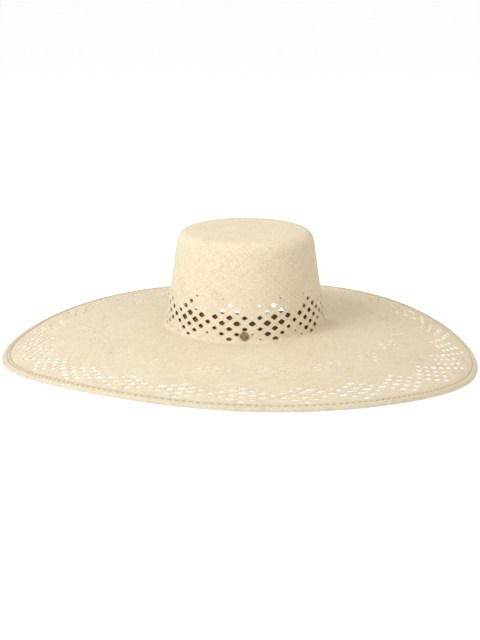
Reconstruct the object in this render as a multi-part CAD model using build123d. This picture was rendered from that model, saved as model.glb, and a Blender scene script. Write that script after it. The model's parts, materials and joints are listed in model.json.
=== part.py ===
from build123d import *
import math
import os

# A wide-brimmed sun hat woven in openwork straw, standing on its brim.
# Millimetres, +Z up. The origin is under the middle of the brim, on the surface
# that the hat stands on. The front of the hat faces -Y and its left side is +X.
# Every piece is first built with z = 0 at the underside of the straw at the headline,
# and lifted to its final height when it is written.

# Straw crown
straw = 1.0  # thickness of the weave
crown_length = 205.5  # outside, front to back, where the wall meets the brim
crown_width = 174.5  # outside, side to side, at the same place
crown_height = 103.0  # underside of the straw to the flat top
crown_taper = 0.165  # how far the wall leans in for each millimetre of height
shoulder_radius = 14.0  # wall to top
headline_radius = 2.0  # wall to brim, outside
crown_flange = 7.0  # flat straw outside the wall, which runs on into the brim
crown_side_shift = 6.0  # the crown stands this far to the left of the brim's middle

# Straw brim
brim_width = 520.0  # side to side
brim_length = 536.0  # front to back
brim_droop = 25.0  # average fall from the headline to the edge
side_droop = 9.8  # the two sides fall this much more, the front and back less
left_droop = 3.9  # the left side falls this much more than the right
back_lift = 4.0  # the back stands this much higher than the front
corner_lift = 4.2  # the back left and front right stand higher
edge_wave = 2.5  # depth of the four shallow waves round the edge
brim_curl = 1.5  # power of the fall: 1 is a cone, 2 turns down more at the edge

# Turned-under brim edge and its wire
hem_width = 9.0
hem_seam = 2.0  # the inner part of the hem, sewn against the brim
wire_size = 0.8
wire_end_gap = 0.5
joiner_wall = 0.2
joiner_length = 16.0
thread = 0.4
hem_thread_inset = 8.0  # the stitching line, from the edge

# Sweatband
band_thickness = 0.6
band_foot = 3.0  # the height of its lower edge
band_seam = 2.0  # the part sewn flat on the straw
band_standoff = 2.0  # how far it stands off the straw above the seam
band_bend = 45.0  # degrees that it turns by to stand off
band_top = 31.5
band_end_gap = 0.3
cover_width = 12.0  # tab over the meeting ends, at the back
band_thread_height = 4.0

# Label, sewn to the sweatband along its top edge, on the hat's left
label_width = 24.0
label_drop = 15.0
label_thickness = 0.4
label_edge_height = 3.0  # the strip that is sewn down
label_edge_top = 24.5
label_gap = 0.5  # between the sewn strip and the flap
label_clearance = 0.3  # between the flap's side edges and the sweatband
label_thread_margin = 1.0

# Round stud, low on the front of the crown
stud_height = 8.6
stud_side_shift = -1.5
stud_radius = 4.5
stud_thickness = 1.6
stud_dome = 0.5  # how far the middle stands out of the rim
stud_rim = 0.8
post_radius = 0.8
post_clearance = 0.05
stud_clearance = 0.3  # between the straw and the pieces that turn
retainer_radius = 2.0
retainer_thickness = 0.8
post_tail = 0.3
bore_length = 6.0  # of the hole for the post, more than the straw's thickness

# Finish of the model's round and wavy stretches, as flat facets
stations = 72  # round the crown and the brim
arc_steps = 5
brim_steps = 4  # from the flange to the hem
reach = 400.0  # larger than anything that it cuts

turns = [2 * math.pi * i / stations for i in range(stations)]


# ---- closed skins ----


# Joins rings of points, one after the other, with triangles. A tube's last ring
# joins its first, and an open row of rings is closed with a flat face at each end.
# A patch folds along its lower diagonal, so pieces that touch are folded alike.
def skin(rings, tube=True):
    faces = []
    following = rings[1:] + rings[:1] if tube else rings[1:]
    for near, far in zip(rings, following):
        for i in range(stations):
            j = (i + 1) % stations
            if near[i].Z + far[j].Z < near[j].Z + far[i].Z:
                halves = [near[i], near[j], far[j]], [near[i], far[j], far[i]]
            else:
                halves = [near[i], near[j], far[i]], [near[j], far[j], far[i]]
            for corners in halves:
                faces.append(Face(Wire.make_polygon(corners)))
    if not tube:
        for ring in (rings[0], rings[-1]):
            faces.append(Face(Wire.make_polygon(ring)))
    return Solid(Shell(faces))


# ---- the crown's oval, as a circle of the crown's length squeezed sideways ----

wall_radius = crown_length / 2
squeeze = crown_width / crown_length
slant = math.hypot(1, crown_taper)


def outer_radius(z):
    return wall_radius - crown_taper * (z - straw)


def inner_radius(z):
    return outer_radius(z) - straw * slant


def oval(points, tube=True):
    rings = []
    for radius, z in points:
        ring = []
        for turn in turns:
            x = crown_side_shift + radius * squeeze * math.cos(turn)
            ring.append(Vector(x, radius * math.sin(turn), z))
        rings.append(ring)
    return skin(rings, tube)


# A strip of the given thickness, which follows the inside of the wall
# between two heights, depth millimetres inside it.
def wall_strip(depth, thickness, low, high):
    far = depth + thickness
    return oval(
        [
            (inner_radius(low) - depth, low),
            (inner_radius(high) - depth, high),
            (inner_radius(high) - far, high),
            (inner_radius(low) - far, low),
        ]
    )


# A block that keeps what lies at the back, or at the left, of the crown.
def back_block(width):
    block = Box(width, reach, reach, align=(Align.CENTER, Align.MIN, Align.CENTER))
    return Pos(crown_side_shift, 0, 0) * block


def left_block(width):
    block = Box(reach, width, reach, align=(Align.MIN, Align.CENTER, Align.CENTER))
    return Pos(crown_side_shift, 0, 0) * block


# ---- the brim's wavy surface ----

brim_a = brim_width / 2
brim_b = brim_length / 2
flange_b = wall_radius + crown_flange
flange_a = flange_b * squeeze


def edge_height(turn):
    return (
        -brim_droop
        - left_droop * math.cos(turn)
        + back_lift * math.sin(turn)
        - side_droop * math.cos(2 * turn)
        + corner_lift * math.sin(2 * turn)
        - edge_wave * math.cos(4 * turn)
    )


# A point over the brim's underside: share is 0 at the crown's flange and 1 at the edge.
def brim_point(turn, share, height):
    x = (crown_side_shift + flange_a * math.cos(turn)) * (1 - share)
    y = flange_b * math.sin(turn) * (1 - share)
    return Vector(
        x + brim_a * math.cos(turn) * share,
        y + brim_b * math.sin(turn) * share,
        edge_height(turn) * share**brim_curl + height,
    )


# The share of the brim's width at a distance in from the edge.
def edge_share(turn, inset):
    width = brim_point(turn, 1, 0) - brim_point(turn, 0, 0)
    return 1 - inset / math.hypot(width.X, width.Y)


# A ring whose section is drawn as distances in from the edge and heights.
def edge_ring(section):
    rings = []
    for inset, height in section:
        rings.append([brim_point(t, edge_share(t, inset), height) for t in turns])
    return skin(rings)


# ---- pieces ----


# The corners of a line, with the arcs in it as short steps.
def corners_of(line):
    points = [line @ 0]
    for edge in line.order_edges():
        steps = 1 if edge.geom_type == GeomType.LINE else arc_steps
        forward = (edge @ 0 - points[-1]).length < (edge @ 1 - points[-1]).length
        for i in range(1, steps + 1):
            points.append(edge @ (i / steps if forward else 1 - i / steps))
    return [(p.X, p.Y) for p in points]


def make_crown():
    top_radius = outer_radius(crown_height)
    ceiling = crown_height - straw
    outside = FilletPolyline(
        (0, crown_height),
        (top_radius, crown_height),
        (outer_radius(straw), straw),
        (flange_b, straw),
        radius=[shoulder_radius, headline_radius],
    )
    inside = FilletPolyline(
        (flange_b, 0),
        (inner_radius(0), 0),
        (inner_radius(ceiling), ceiling),
        (0, ceiling),
        radius=[headline_radius + straw, shoulder_radius - straw],
    )
    # the two ends on the crown's axis are left to the flat faces that close the skin
    path = corners_of(outside)[1:] + corners_of(inside)[:-1]
    return oval(path, tube=False) - stud_hole()


channel = wire_size + 2 * joiner_wall
thread_near = hem_thread_inset - thread / 2


# The brim's rings at one height, from the flange to the hem and on through the insets.
def brim_rings(insets, height):
    spokes = []
    for turn in turns:
        hem_share = edge_share(turn, hem_width)
        shares = [hem_share * i / brim_steps for i in range(brim_steps)]
        shares += [edge_share(turn, inset) for inset in [hem_width] + insets]
        spokes.append([brim_point(turn, share, height) for share in shares])
    return [*zip(*spokes)]


def make_brim():
    stitched = [thread_near + thread, thread_near]
    hemmed = [hem_width - hem_seam, straw + channel, straw, 0]
    under = brim_rings(hemmed, 0)
    over = brim_rings(stitched + hemmed, straw)
    return skin(under + over[::-1])


def make_brim_hem():
    low = -channel - straw
    return edge_ring(
        [
            (0, low),
            (0, 0),
            (straw, 0),
            (straw, -channel),
            (hem_width - hem_seam, -channel),
            (hem_width - hem_seam, 0),
            (hem_width, 0),
            (hem_width, low),
        ]
    )


def square_ring(near, size, top):
    far = near + size
    low = top - size
    return edge_ring([(near, low), (near, top), (far, top), (far, low)])


def wire_ring():
    return square_ring(straw + joiner_wall, wire_size, -joiner_wall)


def make_brim_wire():
    return wire_ring() - back_block(wire_end_gap)


def make_wire_joiner():
    sleeve = square_ring(straw, channel, 0)
    return (sleeve & back_block(joiner_length)) - wire_ring()


def make_hem_thread():
    return square_ring(thread_near, thread, straw + thread)


def make_sweatband():
    bend = band_foot + band_seam
    rise = bend + band_standoff / math.tan(math.radians(band_bend))
    deep = band_standoff + band_thickness
    # the inner face turns a little lower, which keeps the ribbon's thickness in the bend
    drop = band_thickness * math.tan(math.radians(band_bend / 2))
    band = oval(
        [
            (inner_radius(band_foot), band_foot),
            (inner_radius(bend), bend),
            (inner_radius(rise) - band_standoff, rise),
            (inner_radius(band_top) - band_standoff, band_top),
            (inner_radius(band_top) - deep, band_top),
            (inner_radius(rise + drop) - deep, rise + drop),
            (inner_radius(bend + drop) - band_thickness, bend + drop),
            (inner_radius(band_foot) - band_thickness, band_foot),
        ]
    )
    return band - back_block(band_end_gap)


def make_sweatband_cover():
    low = band_foot + band_seam + band_standoff + band_thickness
    strip = wall_strip(band_standoff + band_thickness, band_thickness, low, band_top)
    return strip & back_block(cover_width)


def make_sweatband_thread():
    low = band_thread_height - thread / 2
    return wall_strip(band_thickness, thread, low, low + thread)


label_depth = band_standoff + band_thickness
label_edge_low = label_edge_top - label_edge_height
flap_top = label_edge_low - label_gap


def make_label_edge():
    strip = wall_strip(label_depth, label_thickness, label_edge_low, label_edge_top)
    return strip & left_block(label_width)


def make_label_thread():
    low = (label_edge_low + label_edge_top - thread) / 2
    strip = wall_strip(label_depth + label_thickness, thread, low, low + thread)
    return strip & left_block(label_width - 2 * label_thread_margin)


# Where the middle of the flap hangs: its side edges just clear the sweatband.
def flap_middle():
    b = inner_radius(flap_top) - label_depth
    chord = b * squeeze * math.sqrt(1 - (label_width / 2 / b) ** 2)
    return crown_side_shift + chord - label_clearance - label_thickness / 2


def make_label_flap():
    flap = Box(
        label_thickness,
        label_width,
        label_drop,
        align=(Align.CENTER, Align.CENTER, Align.MAX),
    )
    return Pos(flap_middle(), 0, flap_top) * flap


# ---- stud: z of its plane points out of the straw, square to the wall ----


def stud_plane():
    b = outer_radius(stud_height)
    a = b * squeeze
    y = -b * math.sqrt(1 - (stud_side_shift / a) ** 2)
    return Plane(
        origin=(crown_side_shift + stud_side_shift, y, stud_height),
        x_dir=(1, 0, 0),
        z_dir=(0, -1, crown_taper),
    )


# A solid of revolution about the stud's axis.
def turned(points):
    face = make_face(Polyline(*points, close=True))
    return stud_plane().location * revolve(Plane.XZ * face, Axis.Z)


retainer_front = -(straw + stud_clearance)
retainer_back = retainer_front - retainer_thickness
post_end = retainer_back - post_tail


def stud_hole():
    bore = Cylinder(post_radius + post_clearance, bore_length)
    return stud_plane().location * bore


def make_stud_cap():
    low = stud_clearance
    high = low + stud_thickness
    inner = stud_radius - stud_rim
    dome = []
    for i in range(arc_steps + 1):
        radius = inner * (1 - i / arc_steps)
        dome.append((radius, high + stud_dome * (1 - (radius / inner) ** 2)))
    return turned([(0, low), (stud_radius, low), (stud_radius, high)] + dome)


def make_stud_post():
    return turned(
        [
            (0, post_end),
            (post_radius, post_end),
            (post_radius, stud_clearance),
            (0, stud_clearance),
        ]
    )


def make_stud_retainer():
    return turned(
        [
            (post_radius, retainer_back),
            (retainer_radius, retainer_back),
            (retainer_radius, retainer_front),
            (post_radius, retainer_front),
        ]
    )


pieces = {
    "crown": make_crown,
    "brim": make_brim,
    "brim_hem": make_brim_hem,
    "brim_wire": make_brim_wire,
    "wire_joiner": make_wire_joiner,
    "hem_thread": make_hem_thread,
    "sweatband": make_sweatband,
    "sweatband_cover": make_sweatband_cover,
    "sweatband_thread": make_sweatband_thread,
    "label_edge": make_label_edge,
    "label_thread": make_label_thread,
    "label_flap": make_label_flap,
    "stud_cap": make_stud_cap,
    "stud_post": make_stud_post,
    "stud_retainer": make_stud_retainer,
}

# The lowest straw is the hem's underside, where the edge droops most.
lift = straw + channel - min(edge_height(math.radians(turn)) for turn in range(360))

os.makedirs("parts", exist_ok=True)
for name, make in pieces.items():
    export_step(Pos(0, 0, lift) * make(), f"parts/{name}.step")

# What the record's joints and mounts are measured from.
pin = stud_plane()
print("headline height", round(lift, 3))
print("crown top", round(lift + crown_height, 3))
print("stud", [round(v, 3) for v in pin.origin + Vector(0, 0, lift)], [round(v, 4) for v in pin.z_dir])
print("flap hinge", round(flap_middle(), 3), 0, round(lift + flap_top, 3))
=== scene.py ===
import json
import math
import random
import bpy
import bmesh
from mathutils import Matrix, Vector


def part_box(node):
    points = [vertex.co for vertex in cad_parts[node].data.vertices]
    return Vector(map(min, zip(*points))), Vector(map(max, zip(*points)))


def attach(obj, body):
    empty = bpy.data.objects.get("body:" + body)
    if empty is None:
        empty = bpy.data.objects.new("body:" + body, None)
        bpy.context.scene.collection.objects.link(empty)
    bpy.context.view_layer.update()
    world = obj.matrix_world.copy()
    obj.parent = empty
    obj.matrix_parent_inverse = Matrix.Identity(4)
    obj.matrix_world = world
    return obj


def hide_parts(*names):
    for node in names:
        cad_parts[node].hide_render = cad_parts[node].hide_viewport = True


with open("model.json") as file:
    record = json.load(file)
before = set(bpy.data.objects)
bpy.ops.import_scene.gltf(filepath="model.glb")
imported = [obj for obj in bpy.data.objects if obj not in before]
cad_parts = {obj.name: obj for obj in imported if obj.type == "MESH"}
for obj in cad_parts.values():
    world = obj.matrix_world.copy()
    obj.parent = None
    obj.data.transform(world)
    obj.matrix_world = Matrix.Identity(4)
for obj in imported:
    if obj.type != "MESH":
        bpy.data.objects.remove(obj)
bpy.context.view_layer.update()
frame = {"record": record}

chance = random.Random(7)
mm = 0.001

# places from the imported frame
crownLow, crownHigh = [Vector(v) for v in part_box("crown")]
brimLow, brimHigh = [Vector(v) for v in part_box("brim")]
hemLow = Vector(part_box("brim_hem")[0])
bandLow, bandHigh = [Vector(v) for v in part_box("sweatband")]
flapLow, flapHigh = [Vector(v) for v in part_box("label_flap")]
labelEdgeLow, labelEdgeHigh = [Vector(v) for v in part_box("label_edge")]
studJoint = next(j for j in frame["record"]["behaviour"]["joints"] if j["name"] == "stud_spin")

baseHeight = crownLow.z  # underside of the straw at the headline
crownShift = (crownLow.x + crownHigh.x) / 2  # the crown's middle, from the left to the right
flangeA = (crownHigh.x - crownLow.x) / 2
flangeB = (crownHigh.y - crownLow.y) / 2
brimA = (brimHigh.x - brimLow.x) / 2
brimB = (brimHigh.y - brimLow.y) / 2
squeeze = flangeA / flangeB  # how much narrower the oval is than it is long

# the blocked shape, which every straw piece follows
shape = {
    "straw": 1.0 * mm,
    "flange": 7.0 * mm,
    "taper": 0.165,
    "shoulder": 14.0 * mm,
    "headline": 6.0 * mm,  # radius where the wall flows out into the brim
    "topCrown": 0.9 * mm,  # how much the flat top swells
    "cornerSteps": 24,
    "droop": 25.0 * mm,  # the edge's mean fall, then its waves
    "sideDroop": 9.8 * mm,
    "leftDroop": 3.9 * mm,
    "backLift": 4.0 * mm,
    "cornerLift": 4.2 * mm,
    "edgeWave": 2.5 * mm,
    "curl": 1.5,
}


# how far the edge lies below the headline at each turn
def edgeFall(turn):
    return (
        -shape["droop"]
        - shape["leftDroop"] * math.cos(turn)
        + shape["backLift"] * math.sin(turn)
        - shape["sideDroop"] * math.cos(2 * turn)
        + shape["cornerLift"] * math.sin(2 * turn)
        - shape["edgeWave"] * math.cos(4 * turn)
    )


# a point on the brim's top; share is 0 at the flange and 1 at the edge
def brimTop(turn, share, up=0.0):
    c, s = math.cos(turn), math.sin(turn)
    x = (crownShift + flangeA * c) * (1 - share) + brimA * c * share
    y = flangeB * s * (1 - share) + brimB * s * share
    z = edgeFall(turn) * max(share, 0) ** shape["curl"] + shape["straw"]
    return Vector((x, y, baseHeight + z + up))


def brimWidth(turn):
    gap = brimTop(turn, 1) - brimTop(turn, 0)
    return math.hypot(gap.x, gap.y)


# the share of the brim's width that ends inset from its edge
def edgeShare(turn, inset):
    return 1 - inset / brimWidth(turn)


def onArc(centre, radius, angle):
    return (centre[0] + radius * math.cos(angle), centre[1] + radius * math.sin(angle))


# the crown's outside as radius and height, from the shoulder's top down to the flange
def crownProfile():
    height = crownHigh.z - baseHeight
    wall = flangeB - shape["flange"]
    lean = math.atan(shape["taper"])
    topRadius = wall - shape["taper"] * (height - shape["straw"])
    turnAngle = math.pi / 2 - lean
    reach = shape["shoulder"] * math.tan(turnAngle / 2)
    centre = (topRadius - reach, height - shape["shoulder"])
    path = []
    steps = shape["cornerSteps"]
    for i in range(steps + 1):
        a = math.pi / 2 - turnAngle * i / steps
        path.append(onArc(centre, shape["shoulder"], a))
    back = shape["headline"] * math.tan(turnAngle / 2)
    foot = (wall + back, shape["straw"] + shape["headline"])
    for i in range(steps + 1):
        a = math.pi + lean + (math.pi / 2 - lean) * i / steps
        path.append(onArc(foot, shape["headline"], a))
    path.append((flangeB, shape["straw"]))
    return path


profile = crownProfile()
profileRun = [0.0]
for near, far in zip(profile, profile[1:]):
    profileRun.append(profileRun[-1] + math.dist(near, far))


# the hat's ovals all have the crown's proportions; r is half the length
def onOval(turn, r, z):
    return Vector((crownShift + r * squeeze * math.cos(turn), r * math.sin(turn), z))


# a point on the crown's outside; share is 0 at the flange's rim and 1 at the shoulder's top
def crownSide(turn, share, proud=0.0):
    want = (1 - share) * profileRun[-1]
    i = 0
    while i < len(profileRun) - 2 and profileRun[i + 1] < want:
        i += 1
    part = (want - profileRun[i]) / (profileRun[i + 1] - profileRun[i])
    r = profile[i][0] + (profile[i + 1][0] - profile[i][0]) * part
    z = profile[i][1] + (profile[i + 1][1] - profile[i][1]) * part
    return onOval(turn, r + proud, baseHeight + z)


def addNode(tree, kind, **settings):
    node = tree.nodes.new(kind)
    for key, value in settings.items():
        setattr(node, key, value)
    return node


# a Math node whose inputs are numbers or other sockets
def calc(tree, operation, a, b=None):
    node = addNode(tree, "ShaderNodeMath", operation=operation)
    for socket, value in zip(node.inputs, (a, b)):
        if value is None:
            continue
        if isinstance(value, (int, float)):
            socket.default_value = value
        else:
            tree.links.new(value, socket)
    return node.outputs[0]


def newMaterial(name, rough, metal=0.0):
    mat = bpy.data.materials.new(name)
    mat.use_nodes = True
    shader = mat.node_tree.nodes["Principled BSDF"]
    shader.inputs["Roughness"].default_value = rough
    shader.inputs["Metallic"].default_value = metal
    return mat, mat.node_tree, shader


def ramp(tree, factor, stops):
    node = addNode(tree, "ShaderNodeValToRGB")
    while len(node.color_ramp.elements) < len(stops):
        node.color_ramp.elements.new(0.5)
    for element, (place, colour) in zip(node.color_ramp.elements, stops):
        element.position = place
        element.color = (*colour, 1)
    tree.links.new(factor, node.inputs[0])
    return node.outputs["Color"]


def mixColour(tree, factor, a, b, blend="MIX"):
    node = addNode(tree, "ShaderNodeMix", data_type="RGBA", blend_type=blend)
    for socket, value in ((node.inputs[0], factor), (node.inputs[6], a), (node.inputs[7], b)):
        if isinstance(value, (int, float)):
            socket.default_value = value
        elif isinstance(value, tuple):
            socket.default_value = (*value, 1)
        else:
            tree.links.new(value, socket)
    return node.outputs[2]


def addBump(tree, shader, height, strength, distance):
    bump = addNode(tree, "ShaderNodeBump")
    bump.inputs["Strength"].default_value = strength
    bump.inputs["Distance"].default_value = distance
    tree.links.new(height, bump.inputs["Height"])
    tree.links.new(bump.outputs[0], shader.inputs["Normal"])


# over-and-under straws, drawn in the piece's own UV map; one UV unit is one lattice cell
weaveLook = {
    "strands": 7.0,  # straws across a cell
    "light": (0.90, 0.82, 0.64),
    "dark": (0.74, 0.62, 0.42),
    # painted shade: the gap colour, and how strongly it darkens the low places between the straws
    "gap": (0.46, 0.31, 0.14),
    "paintedGapShade": 0.7,
    "rough": 0.62,
    "bump": 0.8,
    "bumpSize": 0.5 * mm,
    "roundness": 2.4,  # how flat a straw's middle is
    "dip": 0.45,  # how far a straw goes down at each crossing
    "patchScale": 22.0,
    "fibreScale": 900.0,
    "strawShare": 0.3,  # how much each kind of change adds to the shade
    "crossingShare": 0.4,
    "patchShare": 0.35,
    "fibreShare": 0.25,
    "sheen": 0.08,
    "specular": 0.35,
}


# 0 on a straw's middle and 1 at its edges
def strawEdge(tree, along):
    both = calc(tree, "MULTIPLY", calc(tree, "FRACT", along), 2.0)
    return calc(tree, "ABSOLUTE", calc(tree, "SUBTRACT", both, 1.0))


# a where the straws of the first way lie on top, and b elsewhere
def choose(tree, even, a, b):
    odd = calc(tree, "SUBTRACT", 1.0, even)
    return calc(tree, "ADD", calc(tree, "MULTIPLY", a, even), calc(tree, "MULTIPLY", b, odd))


def weaveMaterial(name, tint=1.0, strands=weaveLook["strands"]):
    w = weaveLook
    mat, tree, shader = newMaterial(name, w["rough"])
    links = tree.links
    uv = addNode(tree, "ShaderNodeUVMap", uv_map="weave")
    mapping = addNode(tree, "ShaderNodeMapping")
    mapping.inputs["Scale"].default_value = (strands, strands, 1)
    links.new(uv.outputs[0], mapping.inputs[0])
    split = addNode(tree, "ShaderNodeSeparateXYZ")
    links.new(mapping.outputs[0], split.inputs[0])
    p, q = split.outputs[0], split.outputs[1]
    pCell, qCell = calc(tree, "FLOOR", p), calc(tree, "FLOOR", q)
    pEdge, qEdge = strawEdge(tree, p), strawEdge(tree, q)
    even = calc(tree, "PINGPONG", calc(tree, "ADD", pCell, qCell), 1.0)
    along = choose(tree, even, pEdge, qEdge)
    across = choose(tree, even, qEdge, pEdge)
    hump = calc(tree, "SUBTRACT", 1.0, calc(tree, "POWER", along, w["roundness"]))
    dip = calc(tree, "MULTIPLY", calc(tree, "POWER", across, 2.0), w["dip"])
    height = calc(tree, "SUBTRACT", hump, dip)
    # each straw has a shade of its own
    strawP = addNode(tree, "ShaderNodeTexWhiteNoise", noise_dimensions="1D")
    strawQ = addNode(tree, "ShaderNodeTexWhiteNoise", noise_dimensions="1D")
    links.new(pCell, strawP.inputs["W"])
    links.new(calc(tree, "ADD", qCell, 517.0), strawQ.inputs["W"])
    shade = choose(tree, even, strawP.outputs["Value"], strawQ.outputs["Value"])
    place = addNode(tree, "ShaderNodeTexCoord")
    patch = addNode(tree, "ShaderNodeTexNoise")
    patch.inputs["Scale"].default_value = w["patchScale"]
    patch.inputs["Detail"].default_value = 3.0
    links.new(place.outputs["Object"], patch.inputs["Vector"])
    fibre = addNode(tree, "ShaderNodeTexNoise")
    fibre.inputs["Scale"].default_value = w["fibreScale"]
    links.new(place.outputs["Object"], fibre.inputs["Vector"])
    # and every crossing catches the light its own way
    crossing = addNode(tree, "ShaderNodeTexWhiteNoise", noise_dimensions="2D")
    crossAt = addNode(tree, "ShaderNodeCombineXYZ")
    links.new(pCell, crossAt.inputs[0])
    links.new(qCell, crossAt.inputs[1])
    links.new(crossAt.outputs[0], crossing.inputs["Vector"])
    strawPart = calc(tree, "MULTIPLY", shade, w["strawShare"])
    crossingPart = calc(tree, "MULTIPLY", crossing.outputs["Value"], w["crossingShare"])
    patchPart = calc(tree, "MULTIPLY", patch.outputs["Fac"], w["patchShare"])
    tone = calc(tree, "ADD", calc(tree, "ADD", strawPart, crossingPart), patchPart)
    light, dark, gap = [tuple(v * tint for v in w[key]) for key in ("light", "dark", "gap")]
    base = ramp(tree, tone, [(0.12, dark), (0.68, light)])
    speck = calc(tree, "MULTIPLY", calc(tree, "SUBTRACT", fibre.outputs["Fac"], 0.5), w["fibreShare"])
    base = mixColour(tree, calc(tree, "MAXIMUM", speck, 0.0), base, dark)
    # painted shade: the low places between the straws are darkened towards the gap colour, as shade would
    # fall there
    raised = calc(tree, "MULTIPLY", calc(tree, "MAXIMUM", height, 0.0), 3.0)
    edge = calc(tree, "SUBTRACT", 1.0, calc(tree, "MINIMUM", raised, 1.0))
    colour = mixColour(tree, calc(tree, "MULTIPLY", edge, w["paintedGapShade"]), base, gap)
    links.new(colour, shader.inputs["Base Color"])
    addBump(tree, shader, height, w["bump"], w["bumpSize"])
    shader.inputs["Sheen Weight"].default_value = w["sheen"]
    shader.inputs["Specular IOR Level"].default_value = w["specular"]
    return mat


crownMaterial = weaveMaterial("naturalStraw")
brimMaterial = weaveMaterial("borderStraw", 0.99)
hemMaterial = weaveMaterial("hemStraw", 0.93, 6.0)
print("materials for the straw are ready")


def toMesh(bm, name):
    mesh = bpy.data.meshes.new(name)
    bm.to_mesh(mesh)
    bm.free()
    return mesh


latticeLook = {
    "roundness": 4.5,  # 2 makes round holes, and more makes them squarer
    "rimProud": 0.18 * mm,
    "grid": 1024,  # steps in a column or row, by which cells find the points they share
    "smallest": 0.02 * mm,
}


# Straws run both ways on the slant, so a cell is a diamond two columns wide and two rows
# high. Straws bend round a hole in the cell, and the hole's rim stands a little proud.
def latticePiece(name, place, columns, rows, fine, holeSize, more=None, outwards=False):
    w = latticeLook
    bm = bmesh.new()
    uvLayer = bm.loops.layers.uv.new("weave")
    points = {}
    half = fine // 2
    rim = half // 2  # the ring of a cell's points that becomes the hole's edge

    # a cell's own coordinates run from -1 to 1 along each way of the straws
    def corner(column, row, i, j, hole):
        a, b = i / half, j / half
        ring = max(abs(i), abs(j))
        if hole and 0 < ring < half:
            power = w["roundness"]
            spread = ((abs(i) / ring) ** power + (abs(j) / ring) ** power) ** (1 / power)
            part = (ring - rim) / (half - rim)
            size = (hole + (1 - hole) * part) * ((1 - part) / spread + part)
            a, b = i / ring * size, j / ring * size
        u = column + (a - b) / 2
        v = min(max(row + (a + b) / 2, 0), rows)
        key = (column, row, i, j)
        if not hole or ring == half:
            key = (round(u * w["grid"]) % (columns * w["grid"]), round(v * w["grid"]))
        if key not in points:
            proud = w["rimProud"] if hole and ring == rim else 0
            points[key] = bm.verts.new(place(2 * math.pi * u / columns, v / rows, proud))
        return points[key], (u + v) / 2, (v - u) / 2

    for row in range(rows + 1):
        for column in range(row % 2, columns, 2):
            hole = holeSize(column, row)
            for i in range(-half, half):
                for j in range(-half, half):
                    square = [(i, j), (i + 1, j), (i + 1, j + 1), (i, j + 1)]
                    if hole and max(abs(c) for spot in square for c in spot) <= rim:
                        continue
                    # the lattice is cut off straight at its first and last rows
                    if row + (i + j + 2) / fine <= 0 or row + (i + j) / fine >= rows:
                        continue
                    found = {}
                    for spot in square:
                        vert, p, q = corner(column, row, *spot, hole)
                        found.setdefault(vert, (p, q))
                    if len(found) < 3:
                        continue
                    face = bm.faces.new(found)
                    face.smooth = True
                    for loop in face.loops:
                        loop[uvLayer].uv = found[loop.vert]
    if more:
        more(bm, uvLayer)
    bmesh.ops.dissolve_degenerate(bm, dist=w["smallest"], edges=bm.edges)
    if outwards:  # rows that run out from the crown turn the faces over
        bmesh.ops.reverse_faces(bm, faces=bm.faces)
    for edge in bm.edges:
        edge.smooth = not edge.is_boundary
    return toMesh(bm, name)


# the wall goes inwards from the faces, or half each way at an offset of 0
def finishPiece(name, mesh, material, thickness=None, offset=-1.0):
    obj = bpy.data.objects.new(name, mesh)
    bpy.context.scene.collection.objects.link(obj)
    mesh.materials.append(material)
    if thickness:
        solid = obj.modifiers.new("wall", "SOLIDIFY")
        solid.thickness = thickness
        solid.offset = offset
        solid.use_even_offset = False
    return obj


crownWeave = {
    "columns": 66,
    "rows": 19,
    "lower": 0.3,  # how much closer the first rows lie
    "fine": 8,
    "clusters": 11,
    "middleRow": 5,
    "clusterReach": 3.01,  # a cluster's holes, in cells from its middle
    "speckReach": 5.01,
    "speckRows": 5,
    "speckChance": 0.6,
    "turned": math.radians(-101.7),  # where the middle of the first cluster stands
    "hole": 0.62,  # of the cell
    "holeFade": 0.07,  # how much smaller each cell outwards
    "speckHole": 0.2,
    "topRings": 11,
    "topCell": 14.3 * mm,
    "merge": 0.05 * mm,
}


# how far a cell is from the nearest cluster's middle, in cells
def clusterSteps(column, row, columns, clusters, middleRow):
    pitch = columns / clusters
    across = abs((column + pitch / 2) % pitch - pitch / 2)
    return across + abs(row - middleRow)


def crownHole(column, row):
    w = crownWeave
    steps = clusterSteps(column, row, w["columns"], w["clusters"], w["middleRow"])
    if steps <= w["clusterReach"]:
        return w["hole"] * chance.uniform(0.78, 1.1) * (1.06 - w["holeFade"] * steps)
    near = steps <= w["speckReach"] and abs(row - w["middleRow"]) < w["speckRows"]
    if near and chance.random() < w["speckChance"]:
        return w["speckHole"] * chance.uniform(0.6, 1.4)
    return 0


def crownPlace(turn, share, proud=0.0):
    low = crownWeave["lower"] * share * (1 - share) ** 2
    return crownSide(turn + crownWeave["turned"], share - low, proud)


# the flat top: rings of straw that close in on the middle
def closeTop(bm, uvLayer):
    w = crownWeave
    count = w["columns"] * w["fine"]
    top = crownSide(0, 1)
    radius = (top.x - crownShift) / squeeze
    rim = []
    for n in range(count):
        turn = 2 * math.pi * n / count + w["turned"]
        rim.append((turn, bm.verts.new(crownSide(turn, 1))))
    step = radius / w["topRings"]
    rings = [rim]
    for k in range(1, w["topRings"]):
        r = radius - k * step
        ring = []
        for turn, _ in rim:
            swell = shape["topCrown"] * (1 - (r / radius) ** 2)
            ring.append((turn, bm.verts.new(onOval(turn, r, crownHigh.z + swell))))
        rings.append(ring)
    middle = bm.verts.new((crownShift, 0, crownHigh.z + shape["topCrown"]))

    def paint(face):
        face.smooth = True
        for loop in face.loops:
            x, y = (loop.vert.co.x - crownShift) / w["topCell"], loop.vert.co.y / w["topCell"]
            loop[uvLayer].uv = (x + y, y - x)

    for outer, inner in zip(rings, rings[1:]):
        for n in range(count):
            m = (n + 1) % count
            paint(bm.faces.new([outer[n][1], outer[m][1], inner[m][1], inner[n][1]]))
    for n in range(count):
        paint(bm.faces.new([rings[-1][n][1], rings[-1][(n + 1) % count][1], middle]))
    bmesh.ops.remove_doubles(bm, verts=bm.verts, dist=w["merge"])


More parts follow.
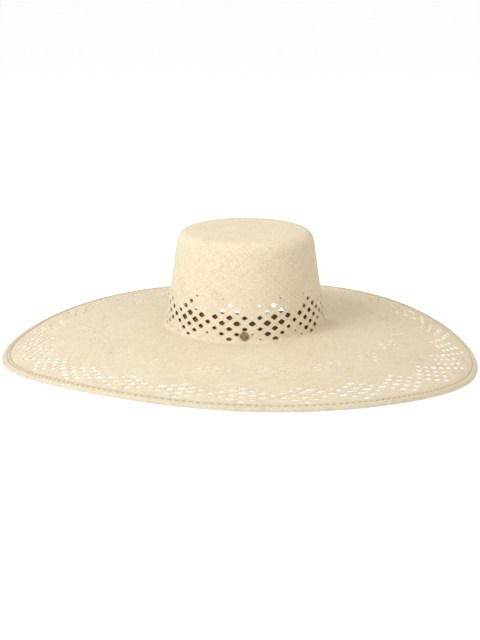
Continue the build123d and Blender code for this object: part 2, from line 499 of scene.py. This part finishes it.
def makeCrown():
    w = crownWeave
    mesh = latticePiece(
        "crownWeave", crownPlace, w["columns"], w["rows"], w["fine"], crownHole, closeTop
    )
    crown = finishPiece("strawCrown", mesh, crownMaterial, shape["straw"])
    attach(crown, "hat")
    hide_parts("crown")


makeCrown()
print("crown is woven")

brimWeave = {
    "columns": 144,
    "rows": 28,
    "fine": 4,
    "clusters": 24,  # the border's
    "middleRow": 23,
    "clusterReach": 3.01,
    "hole": 0.62,
    "speckReach": 5.01,
    "speckRows": 4,
    "speckChance": 0.3,
    "speckHole": 0.15,
    "patches": 18,  # the small inner ones
    "patchRow": 12,
    "patchReach": 2.01,
    "patchHole": 0.46,
    "ripple": 0.22 * mm,
    "rippleCount": 26,
    "rippleStart": 20,  # how soon the ripples reach their full height
    "rippleFade": 1.3,  # and how soon they are gone
    "hemInset": 4.0 * mm,
    "frontSpread": 0.15,  # the front's rounds were blocked outwards
}


def brimHole(column, row):
    w = brimWeave
    steps = clusterSteps(column, row, w["columns"], w["clusters"], w["middleRow"])
    if steps <= w["clusterReach"]:
        return w["hole"] * chance.uniform(0.8, 1.12)
    near = steps <= w["speckReach"] and abs(row - w["middleRow"]) < w["speckRows"]
    if near and chance.random() < w["speckChance"]:
        return w["speckHole"] * chance.uniform(0.7, 1.2)
    if clusterSteps(column, row, w["columns"], w["patches"], w["patchRow"]) <= w["patchReach"]:
        return w["patchHole"] * chance.uniform(0.7, 1.2)
    return 0


# fine rounds of straw ripple the brim near the crown and fade outwards
def brimPlace(turn, share, proud=0.0):
    w = brimWeave
    share = share ** (1 - w["frontSpread"] * max(0.0, -math.sin(turn)) ** 2)
    last = edgeShare(turn, w["hemInset"])
    fade = max(0.0, 1 - share * w["rippleFade"]) * min(1.0, share * w["rippleStart"])
    wave = w["ripple"] * fade * math.sin(2 * math.pi * w["rippleCount"] * share)
    return brimTop(turn, share * last, wave + proud)


def makeBrim():
    w = brimWeave
    mesh = latticePiece(
        "brimInnerWeave", brimPlace, w["columns"], w["rows"], w["fine"], brimHole, outwards=True
    )
    brim = finishPiece("strawBrim", mesh, brimMaterial, shape["straw"])
    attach(brim, "hat")
    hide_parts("brim")


makeBrim()
print("brim is woven")

# the brim's edge, turned under and sewn down
hemLook = {
    "width": 8.8 * mm,
    "proud": 0.6 * mm,
    "stations": 480,
    "cells": 90.0,  # weave cells in a metre
    "sag": 0.4 * mm,  # how deep the stitches pull the straw in
    "stitchInset": 5.8 * mm,
    "stitchPitch": 7.0 * mm,
    "stitchLength": 4.3 * mm,
    "stitchWidth": 1.0 * mm,
}


# the hem's underside, from the brim's top
def hemUnder():
    return hemLow.z - min(brimTop(2 * math.pi * i / 360, 1).z for i in range(360))


# the hem's outline as inset from the edge and height over the brim's top
def hemSection():
    w = hemLook
    under = hemUnder()
    top = w["proud"]
    return [
        (w["width"], top - 0.5 * mm),
        (w["width"], top),
        (w["width"] * 0.8, top + 0.05 * mm),
        (w["stitchInset"] + 0.6 * mm, top),
        (w["stitchInset"], top - w["sag"]),
        (w["stitchInset"] - 0.7 * mm, top),
        (w["width"] * 0.5, top + 0.15 * mm),
        (2.0 * mm, top + 0.15 * mm),
        (0.7 * mm, top - 0.1 * mm),
        (0.0, top - 0.9 * mm),
        (-0.15 * mm, (top + under) / 2),
        (0.1 * mm, under + 0.7 * mm),
        (0.8 * mm, under + 0.1 * mm),
        (2.5 * mm, under),
        (w["width"] * 0.55, under),
        (w["stitchInset"], under + w["sag"]),
        (w["width"], under + 0.05 * mm),
        (w["width"], under + 0.6 * mm),
    ]


# a closed outline carried right round the hat
def ringMesh(name, section, stations, place, cells):
    bm = bmesh.new()
    uvLayer = bm.loops.layers.uv.new("weave")
    rings = []
    for n in range(stations):
        turn = 2 * math.pi * n / stations
        rings.append([bm.verts.new(place(turn, *point)) for point in section])
    size = len(section)
    run = [0.0]
    for k in range(size):
        run.append(run[-1] + math.dist(section[k], section[(k + 1) % size]))
    around = 2 * math.pi * (brimA + brimB) / 2
    for n in range(stations):
        m = (n + 1) % stations
        for k in range(size):
            j = (k + 1) % size
            face = bm.faces.new([rings[n][k], rings[m][k], rings[m][j], rings[n][j]])
            face.smooth = True
            u0, u1 = n / stations * around * cells, (n + 1) / stations * around * cells
            v0, v1 = run[k] * cells, run[k + 1] * cells
            for loop, uv in zip(face.loops, ((u0, v0), (u1, v0), (u1, v1), (u0, v1))):
                # straws lie on the slant
                loop[uvLayer].uv = (uv[0] + uv[1], uv[0] - uv[1])
    bmesh.ops.recalc_face_normals(bm, faces=bm.faces)
    return toMesh(bm, name)


def onBrim(turn, inset, up):
    return brimTop(turn, edgeShare(turn, inset), up)


def makeHem():
    w = hemLook
    mesh = ringMesh("hemWeave", hemSection(), w["stations"], onBrim, w["cells"])
    hem = finishPiece("strawHem", mesh, hemMaterial)
    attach(hem, "hat")
    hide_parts("brim_hem")


makeHem()
print("hem is turned")


# thread, ribbon and tape
def clothMaterial(name, colour, rough=0.8, scale=1500.0, bumpSize=0.2 * mm):
    mat, tree, shader = newMaterial(name, rough)
    place = addNode(tree, "ShaderNodeTexCoord")
    noise = addNode(tree, "ShaderNodeTexNoise")
    noise.inputs["Scale"].default_value = scale
    noise.inputs["Detail"].default_value = 4.0
    tree.links.new(place.outputs["Object"], noise.inputs["Vector"])
    pale = tuple(min(1.0, v * 1.18) for v in colour)
    deep = tuple(v * 0.74 for v in colour)
    tree.links.new(ramp(tree, noise.outputs["Fac"], [(0.3, deep), (0.7, pale)]), shader.inputs["Base Color"])
    addBump(tree, shader, noise.outputs["Fac"], 0.5, bumpSize)
    shader.inputs["Sheen Weight"].default_value = 0.25
    return mat


# stitches set along a curve, as slim balls
def stitchTree():
    tree = bpy.data.node_groups.new("stitchRow", "GeometryNodeTree")
    face = tree.interface
    face.new_socket("Geometry", in_out="INPUT", socket_type="NodeSocketGeometry")
    for name in ("Pitch", "Length", "Width"):
        face.new_socket(name, in_out="INPUT", socket_type="NodeSocketFloat")
    face.new_socket("Material", in_out="INPUT", socket_type="NodeSocketMaterial")
    face.new_socket("Geometry", in_out="OUTPUT", socket_type="NodeSocketGeometry")
    take = addNode(tree, "NodeGroupInput")
    give = addNode(tree, "NodeGroupOutput")
    points = addNode(tree, "GeometryNodeCurveToPoints", mode="LENGTH")
    ball = addNode(tree, "GeometryNodeMeshUVSphere")
    ball.inputs["Segments"].default_value = 8
    ball.inputs["Rings"].default_value = 6
    ball.inputs["Radius"].default_value = 0.5
    size = addNode(tree, "ShaderNodeCombineXYZ")
    shapeIt = addNode(tree, "GeometryNodeTransform")
    place = addNode(tree, "GeometryNodeInstanceOnPoints")
    real = addNode(tree, "GeometryNodeRealizeInstances")
    paint = addNode(tree, "GeometryNodeSetMaterial")
    links = tree.links
    links.new(take.outputs["Geometry"], points.inputs["Curve"])
    links.new(take.outputs["Pitch"], points.inputs["Length"])
    links.new(take.outputs["Width"], size.inputs["X"])
    links.new(take.outputs["Width"], size.inputs["Y"])
    links.new(take.outputs["Length"], size.inputs["Z"])
    links.new(ball.outputs["Mesh"], shapeIt.inputs["Geometry"])
    links.new(size.outputs[0], shapeIt.inputs["Scale"])
    links.new(points.outputs["Points"], place.inputs["Points"])
    links.new(points.outputs["Rotation"], place.inputs["Rotation"])
    links.new(shapeIt.outputs[0], place.inputs["Instance"])
    links.new(place.outputs[0], real.inputs[0])
    links.new(real.outputs[0], paint.inputs["Geometry"])
    links.new(take.outputs["Material"], paint.inputs["Material"])
    links.new(paint.outputs[0], give.inputs[0])
    return tree


stitches = stitchTree()


# the plain mesh that an object's modifiers make; the object goes
def meshOf(obj, name):
    evaluated = obj.evaluated_get(bpy.context.evaluated_depsgraph_get())
    mesh = bpy.data.meshes.new_from_object(evaluated)
    mesh.name = name
    bpy.data.objects.remove(obj)
    return mesh


# one or more lines of points become one mesh of stitches
def stitchRow(name, lines, stitch, material, body, node, closed=True):
    pitch, length, width = stitch
    curve = bpy.data.curves.new(name + "Path", "CURVE")
    curve.dimensions = "3D"
    for line in lines:
        spline = curve.splines.new("POLY")
        spline.points.add(len(line) - 1)
        for point, spot in zip(spline.points, line):
            point.co = (*spot, 1)
        spline.use_cyclic_u = closed
    carrier = bpy.data.objects.new(name + "Path", curve)
    bpy.context.scene.collection.objects.link(carrier)
    modifier = carrier.modifiers.new("stitches", "NODES")
    modifier.node_group = stitches
    inputs = {item.name: item.identifier for item in stitches.interface.items_tree if item.in_out == "INPUT"}
    modifier[inputs["Pitch"]] = pitch
    modifier[inputs["Length"]] = length
    modifier[inputs["Width"]] = width
    modifier[inputs["Material"]] = material
    bpy.context.view_layer.update()
    mesh = meshOf(carrier, name)
    piece = bpy.data.objects.new(name, mesh)
    bpy.context.scene.collection.objects.link(piece)
    for polygon in mesh.polygons:
        polygon.use_smooth = True
    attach(piece, body)
    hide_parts(node)


hemThread = clothMaterial("hemThread", (0.40, 0.29, 0.16))


def makeHemStitches():
    w = hemLook
    top, under = [], []
    count = w["stations"]
    low = hemUnder()
    for n in range(count):
        turn = 2 * math.pi * n / count
        top.append(onBrim(turn, w["stitchInset"], w["proud"] - w["sag"] + w["stitchWidth"] / 4))
        under.append(onBrim(turn, w["stitchInset"], low + w["sag"] - w["stitchWidth"] / 4))
    stitch = (w["stitchPitch"], w["stitchLength"], w["stitchWidth"])
    stitchRow("hemStitches", [top, under], stitch, hemThread, "hat", "hem_thread")


makeHemStitches()
print("hem is stitched")

# a ribbed ribbon, sewn in at the headline and joined at the back under a short cover
bandLook = {
    "thickness": 0.55 * mm,
    "standoff": 2.0 * mm,  # from the straw, above the sewn edge
    "inside": 0.2 * mm,
    "ribPitch": 1.5 * mm,
    "ribDepth": 0.16 * mm,
    "perRib": 3,
    "gap": 0.3 * mm,
    "coverWidth": 12.0 * mm,
    "coverThickness": 0.5 * mm,
    "coverInside": 0.85 * mm,
    "coverRow": 4,  # the cover starts at this row of the ribbon
    "stitchUp": 1.0 * mm,
    "stitchInside": 1.0 * mm,
    "stitchPoints": 360,
    "stitch": (4.0 * mm, 2.9 * mm, 0.45 * mm),  # pitch, length and width
    "colour": (0.17, 0.085, 0.028),
}


# half the length of the crown's inner oval at a height
def innerRadius(z):
    wall = flangeB - shape["flange"] - shape["taper"] * (z - baseHeight - shape["straw"])
    return wall - shape["straw"] * math.hypot(1, shape["taper"])


# rows of the ribbon's outer face: how deep inside the straw, and how high
def bandRows():
    foot, top, clear = bandLow.z, bandHigh.z, bandLook["standoff"]
    return [
        (0.1 * mm, foot),
        (0.1 * mm, foot + 1.6 * mm),
        (0.7 * mm, foot + 3.0 * mm),
        (1.6 * mm, foot + 4.4 * mm),
        (clear, foot + 6.0 * mm),
        (clear, (foot + top) / 2),
        (clear, top - 0.8 * mm),
        (clear + 0.1 * mm, top),
    ]


bandMaterial = clothMaterial("sweatbandRibbon", bandLook["colour"], 0.72, 700.0, 0.3 * mm)
bandThread = clothMaterial("sweatbandThread", (0.09, 0.05, 0.03))


def bandGirth():
    return math.pi * (flangeA + flangeB - 2 * shape["flange"])


# a stretch of ribbon, from one turn to another
def bandPiece(name, start, stop, inside, rows, thickness):
    w = bandLook
    girth = bandGirth()
    ribs = round(girth * (stop - start) / (2 * math.pi) / w["ribPitch"])
    columns = ribs * w["perRib"]
    bm = bmesh.new()
    lines = []
    for n in range(columns + 1):
        turn = start + (stop - start) * n / columns
        rib = w["ribDepth"] * (1 + math.cos(2 * math.pi * n / w["perRib"])) / 2
        line = []
        for deep, z in rows:
            r = innerRadius(z) - deep - inside + rib
            line.append(bm.verts.new(onOval(turn, r, z)))
        lines.append(line)
    for near, far in zip(lines, lines[1:]):
        for k in range(len(rows) - 1):
            bm.faces.new([near[k], far[k], far[k + 1], near[k + 1]]).smooth = True
    piece = finishPiece(name, toMesh(bm, name), bandMaterial, thickness)
    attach(piece, "hat")
    return piece


def makeSweatband():
    w = bandLook
    slit = w["gap"] / 2 / flangeA
    back = math.pi / 2
    rows = bandRows()
    stop = back + 2 * math.pi - slit
    band = bandPiece("sweatbandRibbon", back + slit, stop, w["inside"], rows, w["thickness"])
    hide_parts("sweatband")
    half = w["coverWidth"] / 2 / flangeA
    coverRows = rows[w["coverRow"]:]
    cover = bandPiece(
        "sweatbandCover", back - half, back + half, w["coverInside"], coverRows, w["coverThickness"]
    )
    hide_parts("sweatband_cover")
    turnStep = 2 * math.pi / w["stitchPoints"]
    z = bandLow.z + w["stitchUp"]
    r = innerRadius(z) - w["stitchInside"]
    line = [onOval(n * turnStep, r, z) for n in range(w["stitchPoints"])]
    stitchRow(
        "sweatbandStitches", [line], w["stitch"], bandThread, "hat", "sweatband_thread"
    )


makeSweatband()
print("sweatband is in")

# a blank label: a strip sewn to the ribbon, and a flap that hangs from it
labelLook = {
    "bulge": 0.5 * mm,
    "thickness": 0.35 * mm,
    "columns": 24,
    "rows": 15,
    "edgeRows": 4,
    "edgeInside": 2.8 * mm,  # from the straw's inner face
    "stitch": (2.4 * mm, 1.7 * mm, 0.35 * mm),  # pitch, length and width
    "stitchPoints": 24,
    "stitchMargin": 0.04,
    "stitchProud": 0.22 * mm,
}
labelMaterial = clothMaterial("labelTape", (0.82, 0.79, 0.70), 0.6, 2600.0, 0.1 * mm)
labelThread = clothMaterial("labelThread", (0.72, 0.68, 0.58))


def labelPatch(name, place, rows, body, node):
    columns = labelLook["columns"]
    bm = bmesh.new()
    lines = []
    for i in range(columns + 1):
        lines.append([bm.verts.new(place(i / columns, j / rows)) for j in range(rows + 1)])
    for near, far in zip(lines, lines[1:]):
        for j in range(rows):
            bm.faces.new([near[j], far[j], far[j + 1], near[j + 1]]).smooth = True
    piece = finishPiece(name, toMesh(bm, name), labelMaterial, labelLook["thickness"], 0.0)
    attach(piece, body)
    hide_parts(node)
    return piece


def makeLabel():
    w = labelLook
    x = (flapLow.x + flapHigh.x) / 2

    # the flap curls a little towards the middle of the hat
    def flapPlace(i, j):
        y = flapLow.y + (flapHigh.y - flapLow.y) * i
        z = flapHigh.z + (flapLow.z - flapHigh.z) * j
        curl = w["bulge"] * math.sin(math.pi * i) * j
        return (x - curl, y, z)

    flap = labelPatch("labelFlap", flapPlace, w["rows"], "label", "label_flap")

    # the strip follows the ribbon's curve
    def edgePlace(i, j):
        y = labelEdgeLow.y + (labelEdgeHigh.y - labelEdgeLow.y) * i
        z = labelEdgeHigh.z + (labelEdgeLow.z - labelEdgeHigh.z) * j
        r = innerRadius(z) - w["edgeInside"]
        return (crownShift + r * squeeze * math.sqrt(1 - (y / r) ** 2), y, z)

    labelPatch("labelEdge", edgePlace, w["edgeRows"], "hat", "label_edge")
    line = []
    margin, count = w["stitchMargin"], w["stitchPoints"]
    for n in range(count + 1):
        x, y, z = edgePlace(margin + (1 - 2 * margin) * n / count, 0.5)
        line.append((x - w["stitchProud"], y, z))
    stitchRow(
        "labelStitches", [line], w["stitch"], labelThread, "hat", "label_thread", False
    )


makeLabel()
print("label is sewn in")

# a small round stud: a beaded rim round a plain flower of petals
studLook = {
    "radius": 4.5 * mm,
    "gap": 0.3 * mm,
    "thick": 1.5 * mm,
    "beads": 28,
    "beadSize": 0.75 * mm,
    "beadInset": 0.55 * mm,
    "beadSink": 0.1 * mm,
    "segments": 56,
    "petals": 8,
    "petalDepth": 0.28 * mm,
    "petalFrom": 0.28,  # of the radius
    "petalTo": 0.66,
}


def metalMaterial(name, colour, rough, worn):
    mat, tree, shader = newMaterial(name, rough, 1.0)
    place = addNode(tree, "ShaderNodeTexCoord")
    noise = addNode(tree, "ShaderNodeTexNoise")
    noise.inputs["Scale"].default_value = 380.0
    tree.links.new(place.outputs["Object"], noise.inputs["Vector"])
    shade = ramp(tree, noise.outputs["Fac"], [(0.35, worn), (0.65, colour)])
    tree.links.new(shade, shader.inputs["Base Color"])
    addBump(tree, shader, noise.outputs["Fac"], 0.15, 0.2 * mm)
    return mat


brassMaterial = metalMaterial("agedBrass", (0.50, 0.37, 0.20), 0.38, (0.16, 0.10, 0.05))
steelMaterial = metalMaterial("springWire", (0.62, 0.62, 0.62), 0.3, (0.45, 0.45, 0.46))
sleeveMaterial = metalMaterial("crimpedSleeve", (0.76, 0.76, 0.77), 0.4, (0.6, 0.6, 0.61))


# the stud's own place, with z out of the straw
def studFrame():
    out = Vector(studJoint["axis"]).normalized()
    across = Vector((1, 0, 0))
    up = out.cross(across).normalized()
    turnIt = Matrix((across, up, out)).transposed().to_4x4()
    return Matrix.Translation(Vector(studJoint["pos_m"])) @ turnIt


# the stud's outline as radius and height: underneath, rim, hollow, petals and middle
def studSection(r, low, high):
    return [
        (0.0, low),
        (r * 0.5, low),
        (r - 0.3 * mm, low),
        (r, low + 0.3 * mm),
        (r, high - 0.5 * mm),
        (r - 0.25 * mm, high - 0.2 * mm),
        (r - 0.9 * mm, high - 0.15 * mm),
        (r * 0.72, high - 0.45 * mm),
        (r * 0.62, high - 0.2 * mm),
        (r * 0.45, high + 0.1 * mm),
        (r * 0.3, high + 0.15 * mm),
        (r * 0.24, high - 0.1 * mm),
        (r * 0.16, high + 0.3 * mm),
        (r * 0.08, high + 0.42 * mm),
        (0.0, high + 0.45 * mm),
    ]


def makeStud():
    w = studLook
    bm = bmesh.new()
    low, high = w["gap"], w["gap"] + w["thick"]
    r = w["radius"]
    rings = []
    for radius, z in studSection(r, low, high):
        if radius == 0:
            rings.append([bm.verts.new((0, 0, z))] * w["segments"])
            continue
        ring = []
        petals = w["petalFrom"] < radius / r < w["petalTo"] and z > low
        for n in range(w["segments"]):
            turn = 2 * math.pi * n / w["segments"]
            petal = w["petalDepth"] * math.cos(w["petals"] * turn) if petals else 0
            ring.append(bm.verts.new((radius * math.cos(turn), radius * math.sin(turn), z + petal)))
        rings.append(ring)
    for near, far in zip(rings, rings[1:]):
        for n in range(w["segments"]):
            m = (n + 1) % w["segments"]
            corners = []
            for v in (near[n], near[m], far[m], far[n]):
                if v not in corners:
                    corners.append(v)
            bm.faces.new(corners).smooth = True
    # a ring of beads round the rim
    reach = r - w["beadInset"]
    for n in range(w["beads"]):
        turn = 2 * math.pi * n / w["beads"]
        spot = (math.cos(turn) * reach, math.sin(turn) * reach, high - w["beadSink"])
        made = bmesh.ops.create_uvsphere(
            bm, u_segments=10, v_segments=6, radius=w["beadSize"] / 2, matrix=Matrix.Translation(spot)
        )
        for v in made["verts"]:
            for face in v.link_faces:
                face.smooth = True
    bmesh.ops.recalc_face_normals(bm, faces=bm.faces)
    bm.transform(studFrame())
    stud = finishPiece("studFace", toMesh(bm, "studFace"), brassMaterial)
    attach(stud, "stud")
    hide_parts("stud_cap")


makeStud()
# these keep their shape and take a metal
for node, material in (
    ("stud_post", brassMaterial),
    ("stud_retainer", steelMaterial),
    ("brim_wire", steelMaterial),
    ("wire_joiner", sleeveMaterial),
):
    for item in bpy.data.objects[node].material_slots:
        item.material = material
print("stud and metal are in")

# a pale glowing floor, three softboxes and the camera
stageLook = {
    "floorSize": 12.0,
    "floor": (0.35, 0.35, 0.35),
    "glow": (0.80, 0.812, 0.835),
    "world": 0.5,
    "sky": (1.0, 0.93, 0.84),
    "aim": (0, 0, 0.1),  # what the softboxes face
    "elevation": 13.3,
    "distance": 1.8,
    "lens": 92.1,
    "targetUp": 2.0 * mm,  # over the headline
}


def makeFloor():
    bm = bmesh.new()
    bmesh.ops.create_grid(bm, x_segments=1, y_segments=1, size=stageLook["floorSize"])
    mesh = toMesh(bm, "floor")
    mat, tree, shader = newMaterial("paleFloor", 0.9)
    shader.inputs["Base Color"].default_value = (*stageLook["floor"], 1)
    shader.inputs["Emission Color"].default_value = (*stageLook["glow"], 1)
    shader.inputs["Emission Strength"].default_value = 1.0
    shader.inputs["Specular IOR Level"].default_value = 0.0
    floor = finishPiece("floor", mesh, mat)


def softLight(name, spot, size, power, colour=(1, 1, 1)):
    light = bpy.data.lights.new(name, "AREA")
    light.size = size
    light.energy = power
    light.color = colour
    lamp = bpy.data.objects.new(name, light)
    lamp.location = spot
    way = Vector(stageLook["aim"]) - Vector(spot)
    lamp.rotation_euler = way.to_track_quat("-Z", "Y").to_euler()
    bpy.context.scene.collection.objects.link(lamp)


def makeCamera():
    w = stageLook
    rise = math.radians(w["elevation"])
    target = Vector((0, 0, baseHeight + w["targetUp"]))
    lens = bpy.data.cameras.new("camera")
    lens.lens = w["lens"]
    lens.sensor_width = 36.0
    lens.sensor_fit = "AUTO"
    camera = bpy.data.objects.new("camera", lens)
    camera.location = target + w["distance"] * Vector((0, -math.cos(rise), math.sin(rise)))
    camera.rotation_euler = (target - camera.location).to_track_quat("-Z", "Y").to_euler()
    bpy.context.scene.collection.objects.link(camera)
    bpy.context.scene.camera = camera


makeFloor()
softLight("mainSoftbox", (-1.5, -1.5, 1.5), 1.2, 46.0, (0.97, 0.98, 1.0))
softLight("topSoftbox", (0.0, 0.4, 2.2), 1.6, 19.0)
softLight("warmFill", (1.8, -1.0, 0.9), 1.2, 7.0, (1.0, 0.86, 0.68))
makeCamera()
world = bpy.data.worlds.new("studio")
world.use_nodes = True
sky = world.node_tree.nodes["Background"]
sky.inputs[0].default_value = (*stageLook["sky"], 1)
sky.inputs[1].default_value = stageLook["world"]
bpy.context.scene.world = world
bpy.context.scene.view_settings.view_transform = "Standard"
print("floor, light and camera are set")
